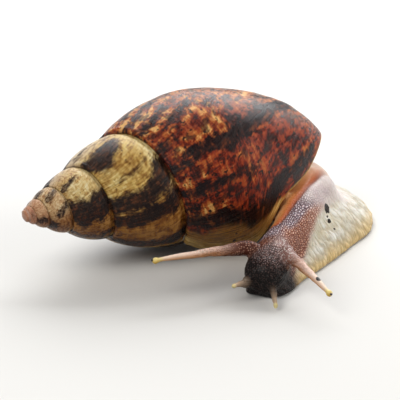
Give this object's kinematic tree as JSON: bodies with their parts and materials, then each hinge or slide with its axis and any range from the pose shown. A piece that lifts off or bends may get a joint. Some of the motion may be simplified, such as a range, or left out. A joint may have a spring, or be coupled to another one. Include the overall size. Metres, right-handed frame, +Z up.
{
  "type": "giant african land snail",
  "caption": "Life-size giant african land snail model: tall right-handed shell with flame markings, body bent round below it, head and feelers stretched out.",
  "frame": {"origin": "on the ground, under the middle of the whole animal", "axes": "+Z up; the head looks towards -Y and a little to -X, and the apex of the shell points to -X"},
  "size_m": [0.1068, 0.1046, 0.0483],
  "materials": {
    "shell": "satin periostracum, chestnut with dark purple-brown flames, paler and blotched towards the apex",
    "mantle": "moist, smooth",
    "skin": "moist, with rows of pale-tipped tubercles; the head is dark purple-brown",
    "foot": "moist, cream with a fine net of grooves, yellower at the margin",
    "tentacle": "moist, fine-grained, with pale yellow tips",
    "eye": "dark, glossy"
  },
  "bodies": {
    "root": {"shell": "shell", "mantle_collar": "mantle", "head": "skin", "neck": "skin", "trunk": "skin", "foot_front": "foot", "foot_middle": "foot", "tail": "foot", "upper_tentacle_left": "tentacle", "upper_tentacle_right": "tentacle", "lower_tentacle_left": "tentacle", "lower_tentacle_right": "tentacle", "eye_left": "eye", "eye_right": "eye"}
  },
  "joints": []
}
